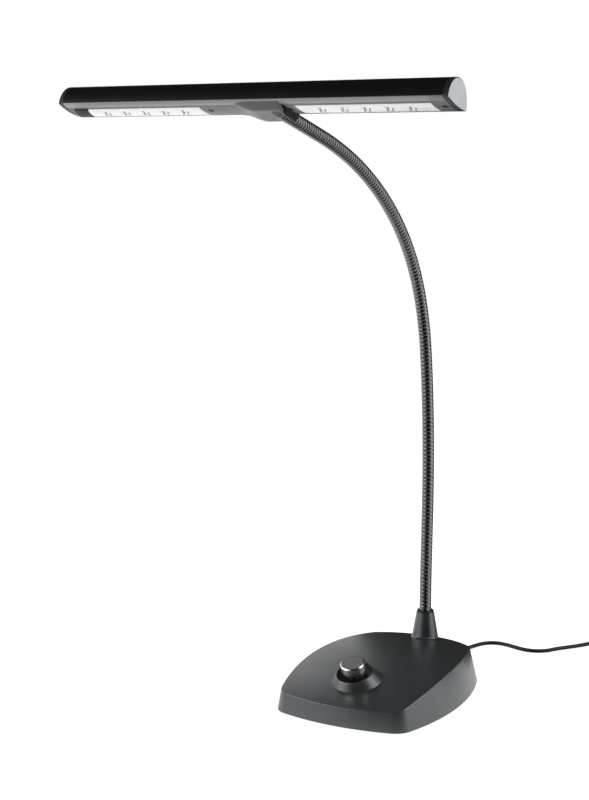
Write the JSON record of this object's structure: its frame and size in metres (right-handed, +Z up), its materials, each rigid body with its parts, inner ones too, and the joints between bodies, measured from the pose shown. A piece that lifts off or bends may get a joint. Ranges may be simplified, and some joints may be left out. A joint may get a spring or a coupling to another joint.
{
  "type": "piano lamp",
  "caption": "Table lamp for a piano: weighted low base with a dimmer knob, a flexible gooseneck and a long slim LED bar carried crosswise at its end.",
  "frame": {"origin": "on the table under the neck's foot, on the neck's axis at the underside of the anti-slip pad", "axes": "+X along the LED bar to the right seen from the front, +Y to the back where the cord leaves, +Z up"},
  "size_m": [0.4057, 0.5082, 0.564],
  "materials": {
    "base_coat": "satin anthracite powder coat",
    "neck_steel": "black nickel plated gooseneck",
    "black_plastic": "fine matt black",
    "zinc_steel": "zinc plated",
    "screw_steel": "blackened steel",
    "pad_rubber": "matt black anti-slip rubber",
    "ballast_iron": "bare casting",
    "board_laminate": "green solder mask",
    "board_brass": "turned brass",
    "board_part_plastic": "moulded",
    "knob_chrome": "dark chrome, bright bevel",
    "knob_top": "dark grey satin disc",
    "cord_jacket": "black round flexible cord",
    "plug_plastic": "fine textured black",
    "plug_metal": "nickel plated brass pins",
    "head_coat": "black anodised and polished aluminium section",
    "cover_grey": "satin mid-grey",
    "lens_clear": "clear acrylic",
    "reflector_bright": "bright metallised",
    "led_board_white": "white solder mask",
    "led_phosphor": "unlit phosphor",
    "inlay_silver": "satin silver"
  },
  "bodies": {
    "base": {"base_shell": "base_coat", "neck_ferrule": "neck_steel", "neck_bush": "black_plastic", "neck_lock_washer": "zinc_steel", "neck_lock_nut": "zinc_steel", "anti_slip_pad": "pad_rubber", "bottom_plate": "zinc_steel", "bottom_screws": "screw_steel", "ballast_screws": "screw_steel", "ballast_weight": "ballast_iron", "dimmer_pot": "black_plastic", "pot_nut": "zinc_steel", "dimmer_board": "board_laminate", "board_standoffs": "board_brass", "board_screws": "screw_steel", "board_parts": "board_part_plastic", "cord_strain_relief": "cord_jacket", "cord_tube": "cord_jacket", "cord_coil": "cord_jacket", "plug_body": "plug_plastic", "plug_pins": "plug_metal"},
    "knob": {"pot_shaft": "zinc_steel", "knob": "knob_chrome", "knob_cap": "knob_top"},
    "neck_link_01": {"neck_link_01": "neck_steel"},
    "neck_link_02": {"neck_link_02": "neck_steel"},
    "neck_link_03": {"neck_link_03": "neck_steel"},
    "neck_link_04": {"neck_link_04": "neck_steel"},
    "neck_link_05": {"neck_link_05": "neck_steel"},
    "neck_link_06": {"neck_link_06": "neck_steel"},
    "neck_link_07": {"neck_link_07": "neck_steel"},
    "neck_link_08": {"neck_link_08": "neck_steel"},
    "neck_link_09": {"neck_link_09": "neck_steel"},
    "neck_link_10": {"neck_link_10": "neck_steel"},
    "neck_link_11": {"neck_link_11": "neck_steel"},
    "neck_link_12": {"neck_link_12": "neck_steel"},
    "head": {"head_shell": "head_coat", "underside_cover": "cover_grey", "cover_screws": "screw_steel", "lens_left": "lens_clear", "lens_right": "lens_clear", "reflector_left": "reflector_bright", "reflector_right": "reflector_bright", "led_board_left": "led_board_white", "led_board_right": "led_board_white", "led_chips_left": "led_phosphor", "led_chips_right": "led_phosphor", "led_board_screws": "screw_steel", "head_ferrule": "neck_steel", "ferrule_saddle": "zinc_steel", "ferrule_screw": "screw_steel", "end_cap_left": "black_plastic", "end_cap_right": "black_plastic", "cap_inlay_left": "inlay_silver", "cap_inlay_right": "inlay_silver", "cap_screws": "screw_steel"}
  },
  "joints": [
    {"name": "neck_tilt_01", "type": "hinge", "parent": "base", "child": "neck_link_01", "pos_m": [0, 0, 0.065], "axis": [1, 0, 0], "range_deg": [-18, 10]},
    {"name": "neck_swing_02", "type": "hinge", "parent": "neck_link_01", "child": "neck_link_02", "pos_m": [0, 0.00089, 0.11599], "axis": [0, 0.9994, -0.0349], "range_deg": [-15, 15]},
    {"name": "neck_tilt_03", "type": "hinge", "parent": "neck_link_02", "child": "neck_link_03", "pos_m": [0, 0.00245, 0.16697], "axis": [1, 0, 0], "range_deg": [-18, 10]},
    {"name": "neck_swing_04", "type": "hinge", "parent": "neck_link_03", "child": "neck_link_04", "pos_m": [0, 0.00245, 0.21796], "axis": [0, 0.9997, 0.0262], "range_deg": [-15, 15]},
    {"name": "neck_tilt_05", "type": "hinge", "parent": "neck_link_04", "child": "neck_link_05", "pos_m": [0, -0.00022, 0.26888], "axis": [1, 0, 0], "range_deg": [-18, 10]},
    {"name": "neck_swing_06", "type": "hinge", "parent": "neck_link_05", "child": "neck_link_06", "pos_m": [0, -0.00577, 0.31957], "axis": [0, 0.9903, 0.1392], "range_deg": [-15, 15]},
    {"name": "neck_tilt_07", "type": "hinge", "parent": "neck_link_06", "child": "neck_link_07", "pos_m": [0, -0.0183, 0.36891], "axis": [1, 0, 0], "range_deg": [-18, 10]},
    {"name": "neck_swing_08", "type": "hinge", "parent": "neck_link_07", "child": "neck_link_08", "pos_m": [0, -0.04237, 0.41369], "axis": [0, 0.809, 0.5878], "range_deg": [-15, 15]},
    {"name": "neck_tilt_09", "type": "hinge", "parent": "neck_link_08", "child": "neck_link_09", "pos_m": [0, -0.07675, 0.45121], "axis": [1, 0, 0], "range_deg": [-18, 10]},
    {"name": "neck_swing_10", "type": "hinge", "parent": "neck_link_09", "child": "neck_link_10", "pos_m": [0, -0.11796, 0.48115], "axis": [0, 0.515, 0.8572], "range_deg": [-15, 15]},
    {"name": "neck_tilt_11", "type": "hinge", "parent": "neck_link_10", "child": "neck_link_11", "pos_m": [0, -0.16346, 0.50409], "axis": [1, 0, 0], "range_deg": [-18, 10]},
    {"name": "neck_swing_12", "type": "hinge", "parent": "neck_link_11", "child": "neck_link_12", "pos_m": [0, -0.21158, 0.52089], "axis": [0, 0.2756, 0.9613], "range_deg": [-15, 15]},
    {"name": "neck_tilt_13", "type": "hinge", "parent": "neck_link_12", "child": "head", "pos_m": [0, -0.26066, 0.53474], "axis": [1, 0, 0], "range_deg": [-18, 10]},
    {"name": "knob_turn", "type": "hinge", "parent": "base", "child": "knob", "pos_m": [0, -0.14646, 0.03205], "axis": [0, -0.3416, 0.9398], "range_deg": [-300, 0]}
  ]
}
